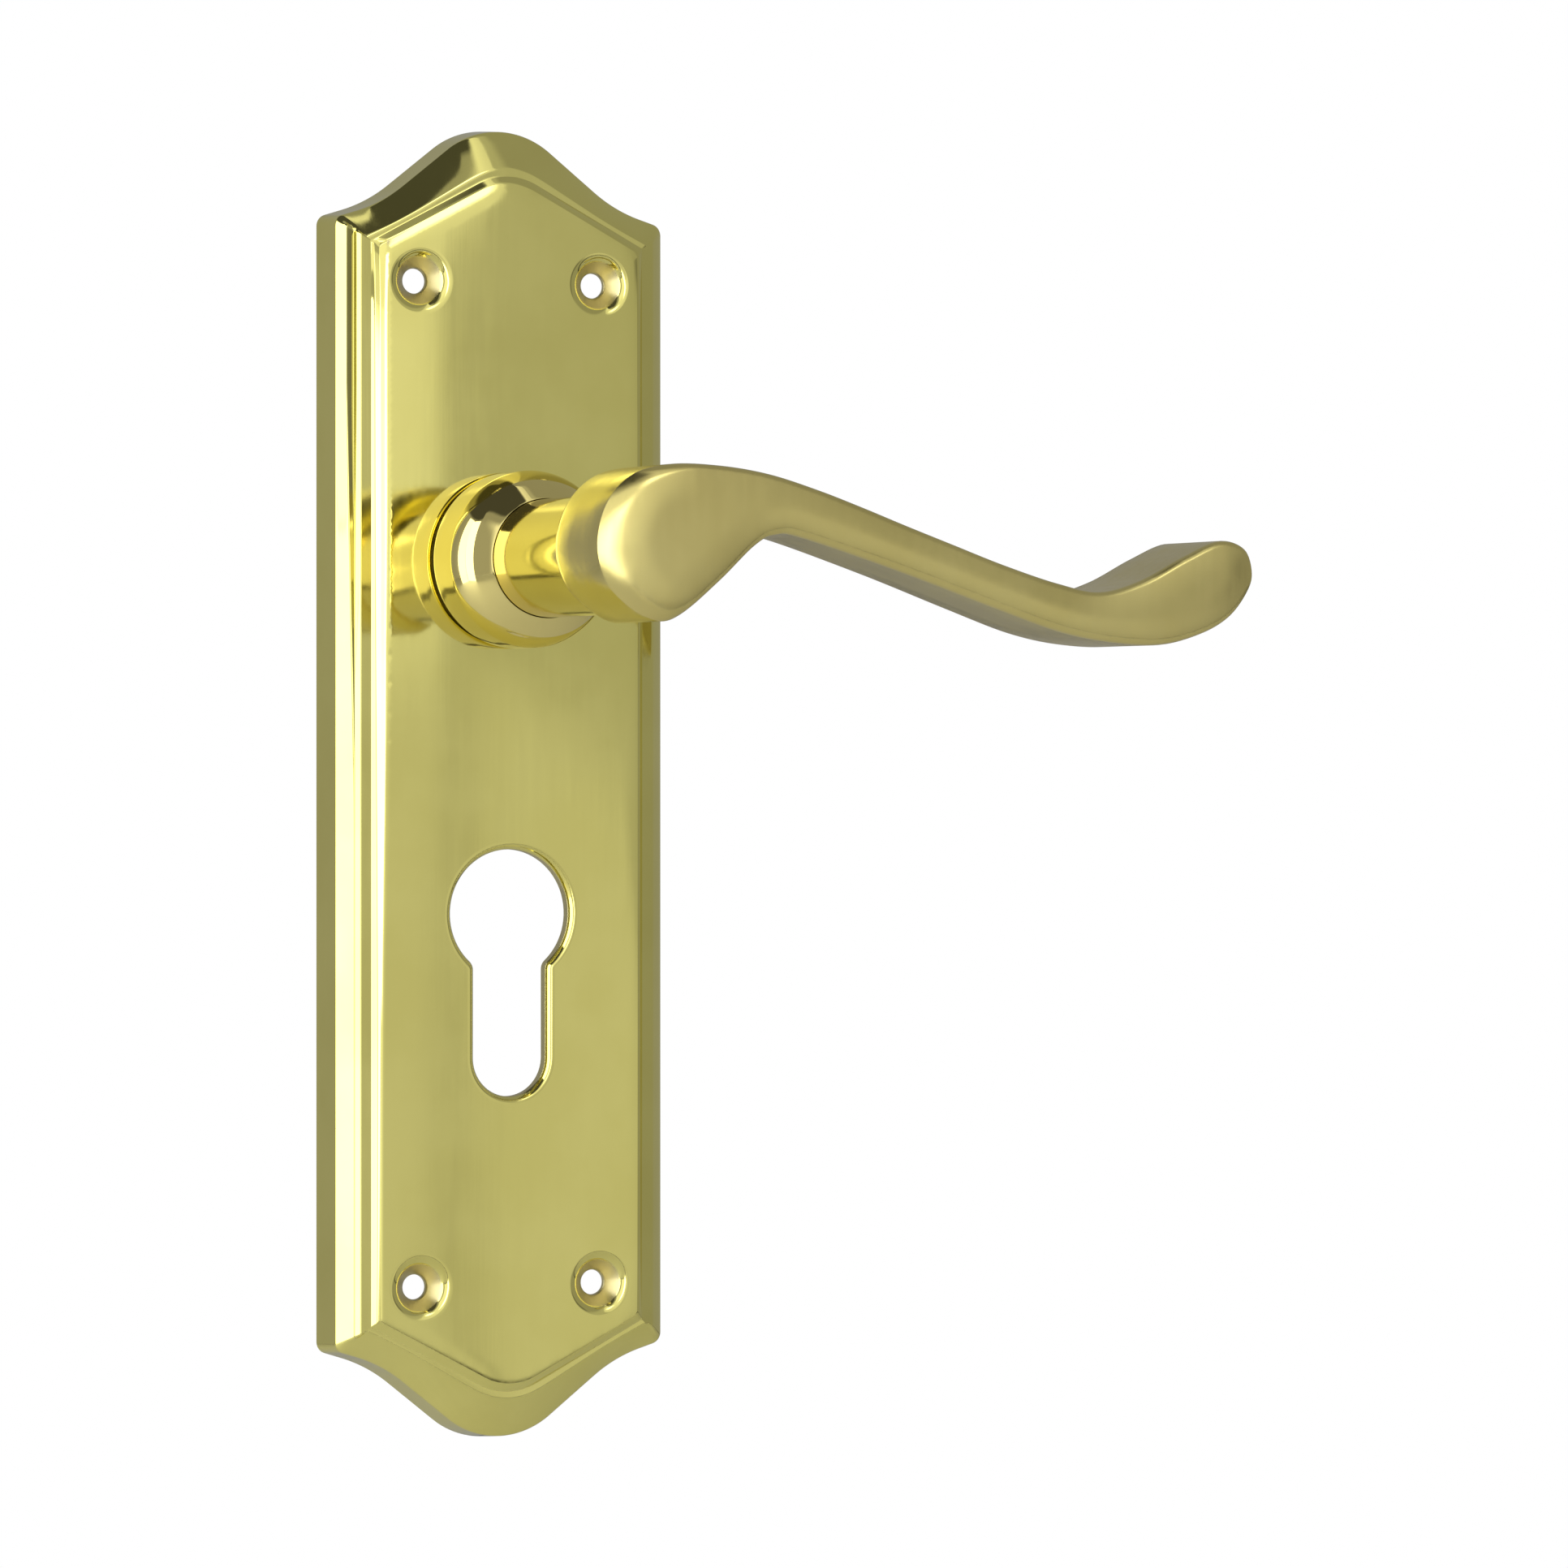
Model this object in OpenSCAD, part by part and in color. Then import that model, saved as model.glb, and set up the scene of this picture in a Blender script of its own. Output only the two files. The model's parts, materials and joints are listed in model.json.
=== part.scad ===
// Lever door handle on a shaped backplate with a euro-profile lock hole.
// X runs along the lever, Z is up and Y runs into the door. The door face is y = 0.
// The shapes are drawn as seen from the front: x right, y up, z out of the door; stand() sets them upright.

/* [Backplate] */
// Height of the plate at the door face, crown to crown
plate_height = 178.8; // [172:0.2:190]
// Width of the plate at the door face
plate_width = 49.2; // [49:0.2:56]
// Depth of the plain side wall, door face to rim
rim_depth = 5.8; // [5.2:0.1:6.2]
// Inward lean of the side wall over its depth
wall_draft = 0.4; // [0.2:0.1:0.8]
// Depth of the ledge at the foot of the raised field
ledge_depth = 8.7; // [8.3:0.1:9]
// Depth of the raised field, door face to front
field_depth = 10; // [9.8:0.1:11]
// Thickness of the cast wall
skin = 2.3; // [2:0.1:2.4]
// Width of the sloping band along the sides
band_width = 2.65; // [2.4:0.05:2.9]
// Width of the flat ledge inside the band
ledge_width = 1.45; // [1:0.05:1.6]
// Width of the rounded step up to the field
step_width = 1.1; // [0.9:0.1:1.5]
// S-curve of the sloping band: 0 is a plain slope, 1 is level in the middle
band_curve = 0.45; // [0:0.05:0.8]
// Radius of the plate's four corners
corner_radius = 1.6; // [0.8:0.1:2.4]

/* [Crown] */
// Radius of the round top of the crown
crown_radius = 12.2; // [11:0.1:13.5]
// Slope of the crown's flank, in degrees
flank_slope = 38; // [35:1:41]
// Distance from the middle to the end of the straight flank
flank_end = 14.2; // [12:0.2:15]
// Radius of the hollow shoulder under the flank
hollow_radius = 21; // [18:0.5:24]
// Slope of the shoulder at the corner, in degrees
shoulder_slope = 17; // [14:1:20]
// Distance from the crown's top down to the foot of the raised field
foot_drop = 6.3; // [5.5:0.1:7]
// Slope of the raised field's gable, in degrees
gable_slope = 27.6; // [25:0.2:30]
// Radius of the gable's round peak at its foot
gable_radius = 9.4; // [8:0.1:11]

/* [Lock hole] */
// Distance from the spindle axis down to the lock barrel's centre
lock_centres = 48; // [46:0.5:49]
// Diameter of the round part of the lock hole
barrel_hole = 17.4; // [17.2:0.1:18]
// Width of the slot below the round part
slot_width = 10.6; // [10.2:0.1:11]
// Height of the whole lock hole
lock_height = 33.6; // [33:0.1:35]

/* [Fixing holes] */
// Distance between the fixing holes, left to right
fix_width = 26.4; // [24:0.2:27]
// Distance between the fixing holes, top to bottom
fix_height = 136.4; // [130:0.2:138]
// Diameter of the fixing holes
fix_hole = 3.4; // [3.2:0.1:4]
// Diameter of the countersinks
fix_head = 7.4; // [7:0.1:8]
// Depth of the countersinks
fix_sink = 2.4; // [2.1:0.1:2.6]
// Length of the plain hole behind each countersink
fix_throat = 1; // [0.8:0.1:1.4]
// Wall of the pad behind each fixing hole
fix_wall = 1.8; // [1.4:0.1:2.2]

/* [Collar] */
// Diameter of the collar round the neck
collar_size = 24; // [23:0.1:26]
// Height of the collar's plain side
collar_side = 6; // [5.8:0.1:7]
// Height of the collar's domed front
collar_dome = 5.4; // [4.6:0.1:6]
// Radius of the dome's swell
dome_radius = 12.3; // [9:0.1:16]
// Diameter of the washer under the collar
washer_size = 22.6; // [21:0.1:22.8]
// Thickness of the washer under the collar
washer_thick = 0.9; // [0.6:0.1:1.2]

/* [Lever] */
// Height of the spindle axis above the plate's middle
spindle_height = 30.4; // [28:0.2:32]
// Diameter of the neck
neck_size = 16; // [15.6:0.1:16.6]
// Distance from the door face to the lever's front
lever_front = 62.5; // [58:0.5:68]
// Depth of the lever, front to back
lever_depth = 17.5; // [15:0.5:19]
// Rounding of the front edge at the head
head_round = 2.6; // [1.6:0.1:3]
// Rounding of the front edge along the arm
arm_round = 1.4; // [0.8:0.1:1.8]
// Rounding of the lever's back edge
back_round = 0.9; // [0.5:0.1:1.4]
// How far the arm's back is drawn in beside the head
arm_waist = 5; // [0:0.5:6]
// Distance from the spindle axis to where the drawn-in back fades out
waist_end = 64; // [50:1:75]
// Downward travel of the lever, in degrees
lever_travel = 45; // [30:1:50]

/* [Bearing] */
// Diameter of the journal that turns in the bush
journal_size = 14; // [13.8:0.1:14.4]
// Wall of the bush
bush_wall = 1.75; // [1.6:0.05:1.9]
// Width of the bush's flange
bush_flange = 1; // [0.8:0.1:1.2]
// Thickness of the bush's flange
flange_thick = 1; // [0.8:0.1:1.2]
// Length of bush in front of the field
bush_reach = 5; // [4.4:0.1:5.6]
// Thickness of the neck's thrust washer
thrust_thick = 0.5; // [0.4:0.1:0.6]

/* [Spindle] */
// Side of the square spindle
spindle_side = 8; // [7:0.1:8]
// Length of spindle behind the door face
spindle_reach = 40; // [30:1:60]
// Depth of the spindle's socket from the tail's end
socket_depth = 32; // [26:1:38]

/* [Spring case] */
// Diameter of the spring's wire
spring_wire = 1.4; // [1:0.1:1.5]
// Turn of the spring from end to end, in degrees
spring_turn = 450; // [420:10:470]
// Thickness of the spring housing's floor
cup_floor = 0.7; // [0.6:0.1:0.9]
// Wall of the spring housing
cup_wall = 1; // [0.8:0.1:1.2]
// Thickness of the cover
cover_thick = 1; // [0.8:0.1:1.2]
// Gap between the cover and the door face
cover_sink = 0.3; // [0.2:0.1:0.5]
// Thickness of the cam plate
cam_thick = 1; // [0.8:0.1:1.2]
// Wall of the cam's hub
hub_wall = 1.9; // [1.6:0.1:2]
// Room for the spring to draw in round the hub
wind_room = 1.8; // [1.5:0.1:2]
// Radius of the stop pins
pin_radius = 1.1; // [0.9:0.1:1.2]
// Half the angle of the cam's stop lug, in degrees
lug_half = 10; // [8:1:14]
// Radius of the cover's screw shanks
screw_radius = 1.25; // [1:0.05:1.4]
// Length of the cover's screws
screw_length = 5; // [4:0.5:5.5]
// Wall of the posts round the screws
post_wall = 1.6; // [1.2:0.1:1.8]
// Thickness of the retaining clip
clip_thick = 0.6; // [0.5:0.1:0.6]
// Width of the retaining clip outside the tail
clip_width = 1.6; // [1.2:0.1:1.8]

/* [Hidden] */
// Clearances: pressed or seated faces, running bores, free gaps
fit_gap = 0.03;
run_gap = 0.05;
neck_gap = 0.08;
free_gap = 0.3;
// Share of the round bosses sunk into the wall that carries them
sink = 0.5;
$fn = 96;

// Half widths and tops of the plate's outlines, from the door face inwards
base_half = plate_width / 2;
base_top = plate_height / 2;
rim_half = base_half - wall_draft;
rim_top = base_top - wall_draft;
foot_inset = band_width + ledge_width;
foot_half = rim_half - foot_inset;
foot_top = rim_top - foot_drop;
crease_share = band_width / foot_inset;
pocket_inset = 1.8;
ceiling = field_depth - skin;
crown_steps = 14;
corner_steps = 4;

// Depths of the stack behind the field, from the door face
cover_front = cover_sink + cover_thick;
cam_back = cover_front + free_gap;
cam_front = cam_back + cam_thick;
cup_back = ceiling - cup_floor;
flange_back = ceiling - flange_thick;
hub_front = flange_back - free_gap;
bush_front = field_depth + bush_reach;
collar_back = field_depth + washer_thick;
collar_edge = collar_back + collar_side;
collar_front = collar_edge + collar_dome;
shoulder = bush_front + thrust_thick + 3 * run_gap;
lever_back = lever_front - lever_depth;
clip_front = cam_back - 2 * run_gap;
clip_back = clip_front - clip_thick;
tail_end = cover_sink;
socket_end = tail_end + socket_depth;

// Radii round the spindle axis, from the inside out
journal_radius = journal_size / 2;
neck_radius = neck_size / 2;
flat_half = journal_radius - 1.2;
groove_radius = journal_radius - 0.65;
clip_radius = journal_radius + clip_width;
bush_radius = journal_radius + run_gap + bush_wall;
flange_radius = bush_radius + bush_flange;
hub_radius = journal_radius + hub_wall;
spring_radius = hub_radius + wind_room + spring_wire / 2;
pin_circle = spring_radius + spring_wire / 2 + 0.4 + pin_radius;
disc_radius = pin_circle - pin_radius - free_gap;
lug_radius = pin_circle + pin_radius;
cup_inner = lug_radius + 0.5;
cup_radius = cup_inner + cup_wall;
post_radius = screw_radius + post_wall;
post_circle = cup_radius + 0.5 + post_radius;
tang_hole = spring_wire / 2 + 2 * run_gap;

// Angles of the cam's lug and of the pins that stop it
lug_rest = 90 + lever_travel / 2;
pin_turn = lug_half + asin((pin_radius + 0.2) / pin_circle);
rest_angle = lug_rest + pin_turn;
down_angle = lug_rest - lever_travel - pin_turn;
fixed_angle = lug_rest + spring_turn;

// Lever's edges from the head round to the tip: distance from the spindle axis, height above it
upper_edge = [
    [-10.15, 0.8], [-8.8, 6], [-5.2, 9.8], [0.4, 11.35], [7.5, 11.25], [14.5, 10.25],
    [21.5, 8.3], [28, 6.1], [34.5, 3.75], [41.5, 1.3], [49, -1.3], [57, -3.65],
    [63.4, -4.7], [69.6, -3.1], [76, 0.1], [81.4, 2.3], [85.2, 1.3], [86.4, -2]];
lower_edge = [
    [-10.15, 0.8], [-8.9, -4], [-5.6, -7.3], [-1.6, -9.15], [1.8, -8.3], [7.4, -3.8],
    [12.4, 0.8], [15.4, 2.2], [19.5, 1.85], [34, -2.5], [47, -6.85], [57, -10.05],
    [65, -11.5], [72.5, -11.75], [78.6, -10.25], [82.8, -8], [85.5, -4.8], [86.4, -2]];
edge_steps = 3;

// Drop of the crown below its top, at x from the middle
round_x = crown_radius * sin(flank_slope);
round_drop = crown_radius * (1 - cos(flank_slope));
flank_drop = round_drop + (flank_end - round_x) * tan(flank_slope);
hollow_end = flank_end + hollow_radius * (sin(flank_slope) - sin(shoulder_slope));
hollow_drop = flank_drop + hollow_radius * (cos(shoulder_slope) - cos(flank_slope));
function hollow(x) =
    hollow_radius * (cos(asin(sin(flank_slope) - (x - flank_end) / hollow_radius)) - cos(flank_slope));
function ogee(x) =
    x < round_x ? crown_radius - sqrt(crown_radius * crown_radius - x * x) :
    x < flank_end ? round_drop + (x - round_x) * tan(flank_slope) :
    x < hollow_end ? flank_drop + hollow(x) :
    hollow_drop + (x - hollow_end) * tan(shoulder_slope);

// Drop of a gable with a round peak of radius r, at x from the middle
function gable(x, r) =
    x < r * sin(gable_slope) ? r - sqrt(r * r - x * x) :
    r * (1 - cos(gable_slope)) + (x - r * sin(gable_slope)) * tan(gable_slope);

// Quarter outline: drop list, round corner, then its mirror images, clockwise from the top
function corner(half, vertex, slope, r) =
    let (run = r * tan((90 - slope) / 2))
    let (mid = vertex + run * sin(slope) - r * cos(slope))
    [for (k = [1:corner_steps])
        let (a = (90 - slope) * (1 - k / corner_steps))
        [half - r + r * cos(a), mid + r * sin(a)]];
function corner_x(half, slope, r) = half - r * tan((90 - slope) / 2) * cos(slope);
function ogee_quarter(half, top) =
    let (end = corner_x(half, shoulder_slope, corner_radius))
    concat(
        [for (k = [0:crown_steps]) let (x = end * k / crown_steps) [x, top - ogee(x)]],
        corner(half, top - ogee(half), shoulder_slope, corner_radius));
function gable_quarter(half, top, peak, r) =
    let (end = corner_x(half, gable_slope, r))
    concat(
        [for (k = [0:crown_steps]) let (x = end * k / crown_steps) [x, top - gable(x, peak)]],
        corner(half, top - gable(half, peak), gable_slope, r));
function full_outline(q) =
    let (n = len(q))
    concat(
        q,
        [for (k = [n - 1:-1:0]) [q[k].x, -q[k].y]],
        [for (k = [1:n - 1]) [-q[k].x, -q[k].y]],
        [for (k = [n - 1:-1:1]) [-q[k].x, q[k].y]]);
function blend(a, b, t) = [for (i = [0:len(a) - 1]) a[i] * (1 - t) + b[i] * t];
function at_depth(outline, d) = [for (p = outline) [p.x, p.y, d]];

base_outline = full_outline(ogee_quarter(base_half, base_top));
rim_outline = full_outline(ogee_quarter(rim_half, rim_top));
foot_outline = full_outline(gable_quarter(foot_half, foot_top, gable_radius, 0.3));
field_outline =
    full_outline(gable_quarter(foot_half - step_width, foot_top - step_width, gable_radius - step_width, 1));
ceiling_outline =
    full_outline(gable_quarter(
        foot_half - step_width - pocket_inset, foot_top - step_width - pocket_inset,
        gable_radius - step_width - pocket_inset, 1));

// Curve through a list of points, with one more point at each end to set its direction
function through(a, b, c, d, t) =
    0.5 * (2 * b + (c - a) * t + (2 * a - 5 * b + 4 * c - d) * t * t + (3 * b - a - 3 * c + d) * t * t * t);
function smooth_edge(p, before, after) =
    let (q = concat([before], p, [after]))
    concat(
        [for (i = [1:len(p) - 1], k = [0:edge_steps - 1])
            through(q[i - 1], q[i], q[i + 1], q[i + 2], k / edge_steps)],
        [p[len(p) - 1]]);
last = len(upper_edge) - 1;
upper_curve = smooth_edge(upper_edge, lower_edge[1], lower_edge[last - 1]);
lower_curve = smooth_edge(lower_edge, upper_edge[1], upper_edge[last - 1]);
lever_outline =
    concat(upper_curve, [for (i = [len(lower_curve) - 2:-1:1]) lower_curve[i]]);
function inward(p, i) =
    let (n = len(p))
    let (d = p[(i + 1) % n] - p[(i + n - 1) % n])
    [d.y, -d.x] / norm(d);
function edge_round(x) =
    arm_round + (head_round - arm_round) * min(1, max(0, (16 - x) / 14));
// Draw of the arm's back: none at the head, full beside it, fading out towards the tip
waist_start = 9;
waist_full = 18;
function ease(t) = let (u = min(1, max(0, t))) u * u * (3 - 2 * u);
function waist(x) =
    arm_waist * ease((x - waist_start) / (waist_full - waist_start))
        * min(1, max(0, (waist_end - x) / (waist_end - waist_full)));
// Ring of the lever: the outline drawn in by its rounding, a degrees round the edge; side 1 front, -1 back
function lever_ring(a, side) =
    [for (i = [0:len(lever_outline) - 1])
        let (p = lever_outline[i])
        let (r = side > 0 ? edge_round(p.x) : back_round)
        let (q = p + inward(lever_outline, i) * r * (1 - sin(a)))
        [q.x, q.y, (side > 0 ? lever_front : lever_back + waist(p.x)) - side * r * (1 - cos(a))]];

// Closed skin over rings of equal count, from the front face round to the back face
module ring_skin(rings) {
    n = len(rings[0]);
    h = n / 2;
    e = (len(rings) - 1) * n;
    front = [for (i = [0:h - 1]) each concat(
        i + 1 < h ? [[i, i + 1, n - i - 1]] : [[i, h, n - i]],
        i > 0 && i + 1 < h ? [[i, n - i - 1, n - i]] : [])];
    back = [for (f = front) [f[2] % n + e, f[1] % n + e, f[0] % n + e]];
    sides = [for (j = [0:len(rings) - 2], i = [0:n - 1])
        let (a = j * n + i, b = j * n + (i + 1) % n)
        each [[a, a + n, b + n], [a, b + n, b]]];
    polyhedron(points = [for (r = rings) each r],
        faces = concat([for (f = front) [f[0], f[1], f[2] % n]], back, sides), convexity = 8);
}

module stand() {
    rotate([90, 0, 0]) children();
}

module on_spindle() {
    stand() translate([0, spindle_height, 0]) children();
}

// Round bar or ring between two depths
module bar(r, back, front) {
    translate([0, 0, back]) cylinder(r = r, h = front - back);
}

module tube(outer, inner, back, front) {
    difference() {
        bar(outer, back, front);
        bar(inner, back - 1, front + 1);
    }
}

module at_angle(angle, radius) {
    translate([radius * cos(angle), radius * sin(angle), 0]) children();
}

// Corners of the fixing holes
module each_fixing() {
    for (x = [-1, 1], y = [-1, 1])
        translate([x * fix_width / 2, y * fix_height / 2, 0]) children();
}

module each_post() {
    for (s = [-1, 1])
        translate([0, s * post_circle, 0]) children();
}

// Depth of the sloping band, u from the rim to the ledge
function band_depth(u) =
    rim_depth + (ledge_depth - rim_depth) * (u + band_curve * sin(360 * u) / (2 * PI));

module plate_shell() {
    rings = concat(
        [for (b = [90, 68, 45, 20])
            at_depth(blend(foot_outline, field_outline, 1 - cos(b)),
                ledge_depth + (field_depth - ledge_depth) * sin(b))],
        [at_depth(foot_outline, ledge_depth)],
        [for (u = [1, 0.86, 0.7, 0.5, 0.3, 0.15, 0.07])
            at_depth(blend(rim_outline, foot_outline, crease_share * u), band_depth(u))],
        [at_depth(blend(rim_outline, foot_outline, 0.012), rim_depth - 0.05)],
        [at_depth(rim_outline, rim_depth - 0.4)],
        [at_depth(base_outline, 0)],
        [at_depth(blend(rim_outline, foot_outline, 0.52), 0)],
        [at_depth(blend(rim_outline, foot_outline, 0.58), rim_depth - skin)],
        [at_depth(blend(foot_outline, field_outline, 0.2), ledge_depth - skin)],
        [at_depth(ceiling_outline, ceiling)]);
    ring_skin(rings);
}

module lock_hole() {
    translate([0, spindle_height - lock_centres, ceiling - 1])
        linear_extrude(skin + 2) union() {
            circle(d = barrel_hole);
            translate([-slot_width / 2, barrel_hole / 2 - lock_height + slot_width / 2])
                square([slot_width, lock_height - barrel_hole / 2 - slot_width / 2]);
            translate([0, barrel_hole / 2 - lock_height + slot_width / 2])
                circle(d = slot_width);
        }
}

module backplate() {
    color([0.72, 0.67, 0.36]) stand() difference() {
        union() {
            plate_shell();
            each_fixing() bar(fix_hole / 2 + fix_wall, field_depth - fix_sink - fix_throat, ceiling + sink);
            translate([0, spindle_height, 0]) each_post()
                bar(post_radius, cover_front + fit_gap, ceiling + sink);
        }
        each_fixing() {
            bar(fix_hole / 2, -1, field_depth + 1);
            translate([0, 0, field_depth - fix_sink])
                cylinder(r1 = fix_hole / 2, r2 = fix_head / 2, h = fix_sink);
            bar(fix_head / 2, field_depth, field_depth + 1);
        }
        translate([0, spindle_height, 0]) {
            bar(bush_radius + fit_gap, ceiling - 1, field_depth + 1);
            each_post() bar(screw_radius + run_gap, cover_front - 1, cover_sink + screw_length + free_gap);
        }
        lock_hole();
    }
}

// Dome from the collar's edge up to the neck, swollen by dome_radius
dome_rise = [collar_size / 2 - neck_radius - neck_gap, collar_dome];
dome_lean = atan2(dome_rise.y, dome_rise.x);
dome_half = asin(norm(dome_rise) / 2 / dome_radius);
dome_start = 90 - dome_lean - dome_half;
dome_centre = [
    collar_size / 2 - dome_radius * cos(dome_start),
    collar_edge - dome_radius * sin(dome_start)];

module neck_collar() {
    color([0.78, 0.72, 0.42]) on_spindle() rotate_extrude() difference() {
        polygon(concat(
            [[neck_radius + neck_gap, collar_back], [collar_size / 2 - 0.3, collar_back],
                [collar_size / 2, collar_back + 0.3]],
            [for (k = [0:10])
                let (a = dome_start + 2 * dome_half * k / 10)
                dome_centre + dome_radius * [cos(a), sin(a)]]));
        translate([0, collar_back - 1])
            square([bush_radius + fit_gap, bush_front + fit_gap - collar_back + 1]);
    }
}

module collar_washer() {
    color([0.25, 0.2, 0.1]) on_spindle()
        tube(washer_size / 2, bush_radius + run_gap, field_depth + fit_gap, collar_back - fit_gap);
}

module bearing_bush() {
    color([0.6, 0.48, 0.22]) on_spindle() difference() {
        union() {
            bar(bush_radius, flange_back + flange_thick / 2, bush_front);
            bar(flange_radius, flange_back, ceiling - fit_gap);
        }
        bar(journal_radius + run_gap, flange_back - 1, bush_front + 1);
    }
}

module neck_washer() {
    color([0.9, 0.88, 0.8]) on_spindle()
        tube(neck_radius - run_gap, journal_radius + run_gap,
            bush_front + run_gap, bush_front + run_gap + thrust_thick);
}

module spring_housing() {
    color([0.62, 0.63, 0.64]) on_spindle() difference() {
        bar(cup_radius, cover_front + fit_gap, ceiling - fit_gap);
        bar(cup_inner, cover_front - 1, cup_back);
        bar(flange_radius + 0.15, cup_back - 1, ceiling + 1);
        for (a = [rest_angle, down_angle])
            at_angle(a, pin_circle) bar(pin_radius + fit_gap, cup_back - 1, ceiling + 1);
        at_angle(fixed_angle, spring_radius) bar(tang_hole, cup_back - 1, ceiling + 1);
    }
}

module spring_cover() {
    color([0.7, 0.71, 0.72]) on_spindle() difference() {
        translate([0, 0, cover_sink]) linear_extrude(cover_thick) union() {
            circle(r = cup_radius);
            translate([-post_radius - 0.4, -post_circle])
                square([2 * post_radius + 0.8, 2 * post_circle]);
            for (s = [-1, 1])
                translate([0, s * post_circle]) circle(r = post_radius + 0.4);
        }
        bar(clip_radius + 0.8, cover_sink - 1, cover_front + 1);
        each_post() screw_body(run_gap, 1);
    }
}

// Countersunk screw with its head flush in the cover, grown by a clearance to cut its hole
module screw_body(grow, past) {
    bar(screw_radius + grow, cover_sink - past, cover_sink + screw_length + past);
    translate([0, 0, cover_sink])
        cylinder(r1 = screw_radius + cover_thick + grow, r2 = screw_radius + grow, h = cover_thick);
}

module cover_screw(s) {
    color([0.75, 0.75, 0.76]) on_spindle() translate([0, s * post_circle, 0]) difference() {
        screw_body(0, 0);
        translate([-3, -0.3, cover_sink - 0.5]) cube([6, 0.6, 1]);
    }
}

module cover_screw_upper() cover_screw(1);
module cover_screw_lower() cover_screw(-1);

module stop_pin(angle) {
    color([0.66, 0.66, 0.68]) on_spindle()
        at_angle(angle, pin_circle) bar(pin_radius, cover_front + free_gap, ceiling - fit_gap);
}

module stop_pin_rest() stop_pin(rest_angle);
module stop_pin_down() stop_pin(down_angle);

// Section of the tail: the journal with two flats, grown by a clearance
module tail_section(grow) {
    intersection() {
        circle(r = journal_radius + grow);
        square([2 * (flat_half + grow), 3 * journal_radius], center = true);
    }
}

module drive_cam() {
    reach = 2 * lug_radius;
    color([0.68, 0.66, 0.6]) on_spindle() difference() {
        union() {
            bar(hub_radius, cam_back, hub_front);
            bar(disc_radius, cam_back, cam_front);
            intersection() {
                bar(lug_radius, cam_back, cam_front);
                translate([0, 0, cam_back - 1]) linear_extrude(cam_thick + 2) polygon([
                    [0, 0],
                    [reach * cos(lug_rest - lug_half), reach * sin(lug_rest - lug_half)],
                    [reach * cos(lug_rest + lug_half), reach * sin(lug_rest + lug_half)]]);
            }
        }
        translate([0, 0, cam_back - 1]) linear_extrude(hub_front) tail_section(run_gap);
        at_angle(lug_rest, spring_radius) bar(tang_hole, cam_back - 1, cam_front + 1);
    }
}

// Spring's path: a short straight end into the housing, the coil, and a straight end into the cam
spring_front = cup_back - free_gap - spring_wire / 2;
spring_back = cam_front + free_gap + spring_wire / 2;
spring_bend = 0.65 * spring_wire;
bend_turn = 2 * asin(spring_bend / 2 / spring_radius);
coil_steps = 20;
function on_coil(angle, d) = [spring_radius * cos(angle), spring_radius * sin(angle), d];
function coil_point(t) =
    on_coil(fixed_angle - bend_turn - (spring_turn - 2 * bend_turn) * t,
        spring_front + (spring_back - spring_front) * t);
spring_path = concat(
    [on_coil(fixed_angle, spring_front + spring_bend + spring_wire / 2),
        on_coil(fixed_angle, spring_front + spring_bend),
        on_coil(fixed_angle - 0.3 * bend_turn, spring_front + 0.3 * spring_bend)],
    [for (k = [0:coil_steps]) coil_point(k / coil_steps)],
    [on_coil(lug_rest + 0.3 * bend_turn, spring_back - 0.3 * spring_bend),
        on_coil(lug_rest, spring_back - spring_bend),
        on_coil(lug_rest, spring_back - spring_bend - spring_wire / 2)]);
// Least gap between the coil's turns, measured on close points of its path
gap_steps = 180;
spring_gaps = [for (i = [0:gap_steps], j = [0:gap_steps])
    if (j - i > gap_steps / 3) norm(coil_point(i / gap_steps) - coil_point(j / gap_steps)) - spring_wire];
echo(spring_least_gap = min(spring_gaps));

module return_spring() {
    n = len(spring_path);
    sides = 6;
    points = [for (i = [0:n - 1])
        let (p = spring_path[i])
        let (d = spring_path[min(i + 1, n - 1)] - spring_path[max(i - 1, 0)])
        let (t = d / norm(d))
        let (out = [p.x, p.y, 0] / norm([p.x, p.y]))
        let (u = (out - t * (out * t)) / norm(out - t * (out * t)))
        let (v = cross(t, u))
        for (k = [0:sides - 1])
            p + spring_wire / 2 * (u * cos(360 * k / sides) + v * sin(360 * k / sides))];
    walls = [for (i = [0:n - 2], k = [0:sides - 1])
        let (a = i * sides + k, b = i * sides + (k + 1) % sides)
        each [[a, a + sides, b + sides], [a, b + sides, b]]];
    ends = [for (k = [1:sides - 2])
        each [[0, k, k + 1], [(n - 1) * sides, (n - 1) * sides + k + 1, (n - 1) * sides + k]]];
    color([0.55, 0.56, 0.58]) on_spindle()
        polyhedron(points = points, faces = concat(walls, ends), convexity = 6);
}

module lever() {
    half = spindle_side / 2 + run_gap;
    color([0.74, 0.69, 0.36]) on_spindle() difference() {
        union() {
            ring_skin(concat(
                [for (a = [0, 30, 60, 90]) lever_ring(a, 1)],
                [for (a = [90, 60, 30, 0]) lever_ring(a, -1)]));
            bar(neck_radius, shoulder, lever_back + 2 * back_round);
            bar(journal_radius, hub_front + run_gap, shoulder + 1);
            translate([0, 0, tail_end])
                linear_extrude(hub_front - tail_end + 1) tail_section(0);
        }
        translate([-half, -half, tail_end - 1]) cube([2 * half, 2 * half, socket_depth + 1]);
        tube(2 * journal_radius, groove_radius, clip_back - run_gap, clip_front + run_gap);
    }
}

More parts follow.
